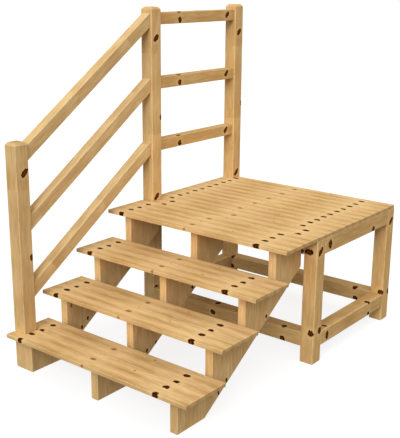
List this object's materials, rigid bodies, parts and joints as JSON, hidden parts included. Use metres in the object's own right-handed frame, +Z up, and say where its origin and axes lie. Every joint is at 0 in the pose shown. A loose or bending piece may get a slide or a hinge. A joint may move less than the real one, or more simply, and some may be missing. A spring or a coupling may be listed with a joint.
{
  "type": "wooden deck stairs",
  "caption": "Free-standing wooden stairs with open treads on saw-tooth stringers, a small platform and a post-and-rail railing on the left.",
  "frame": {"origin": "on the ground, under the middle of the whole footprint", "axes": "+X along the treads to the right when going up, +Y from the foot of the stairs back to the platform, +Z up"},
  "size_m": [1.265, 2.019, 1.914],
  "materials": {
    "board_wood": "planed pine boards, clear finish",
    "timber_wood": "planed pine timbers, clear finish"
  },
  "bodies": {
    "root": {"apron_front": "timber_wood", "apron_left": "timber_wood", "apron_rear": "timber_wood", "apron_right": "timber_wood", "deck_board_1": "board_wood", "deck_board_2": "board_wood", "deck_board_3": "board_wood", "deck_board_4": "board_wood", "deck_board_5": "board_wood", "deck_board_6": "board_wood", "deck_joist": "timber_wood", "deck_rail_bottom": "timber_wood", "deck_rail_middle": "timber_wood", "deck_rail_top": "timber_wood", "leg_front": "timber_wood", "leg_rear": "timber_wood", "post_front": "timber_wood", "post_middle": "timber_wood", "post_rear": "timber_wood", "stair_rail_bottom": "timber_wood", "stair_rail_middle": "timber_wood", "stair_rail_top": "timber_wood", "stretcher_front": "timber_wood", "stretcher_left": "timber_wood", "stretcher_rear": "timber_wood", "stretcher_right": "timber_wood", "stringer_left": "timber_wood", "stringer_middle": "timber_wood", "stringer_right": "timber_wood", "top_tread_front": "board_wood", "top_tread_rear": "board_wood", "tread_1_front": "board_wood", "tread_1_rear": "board_wood", "tread_2_front": "board_wood", "tread_2_rear": "board_wood", "tread_3_front": "board_wood", "tread_3_rear": "board_wood"}
  },
  "joints": []
}
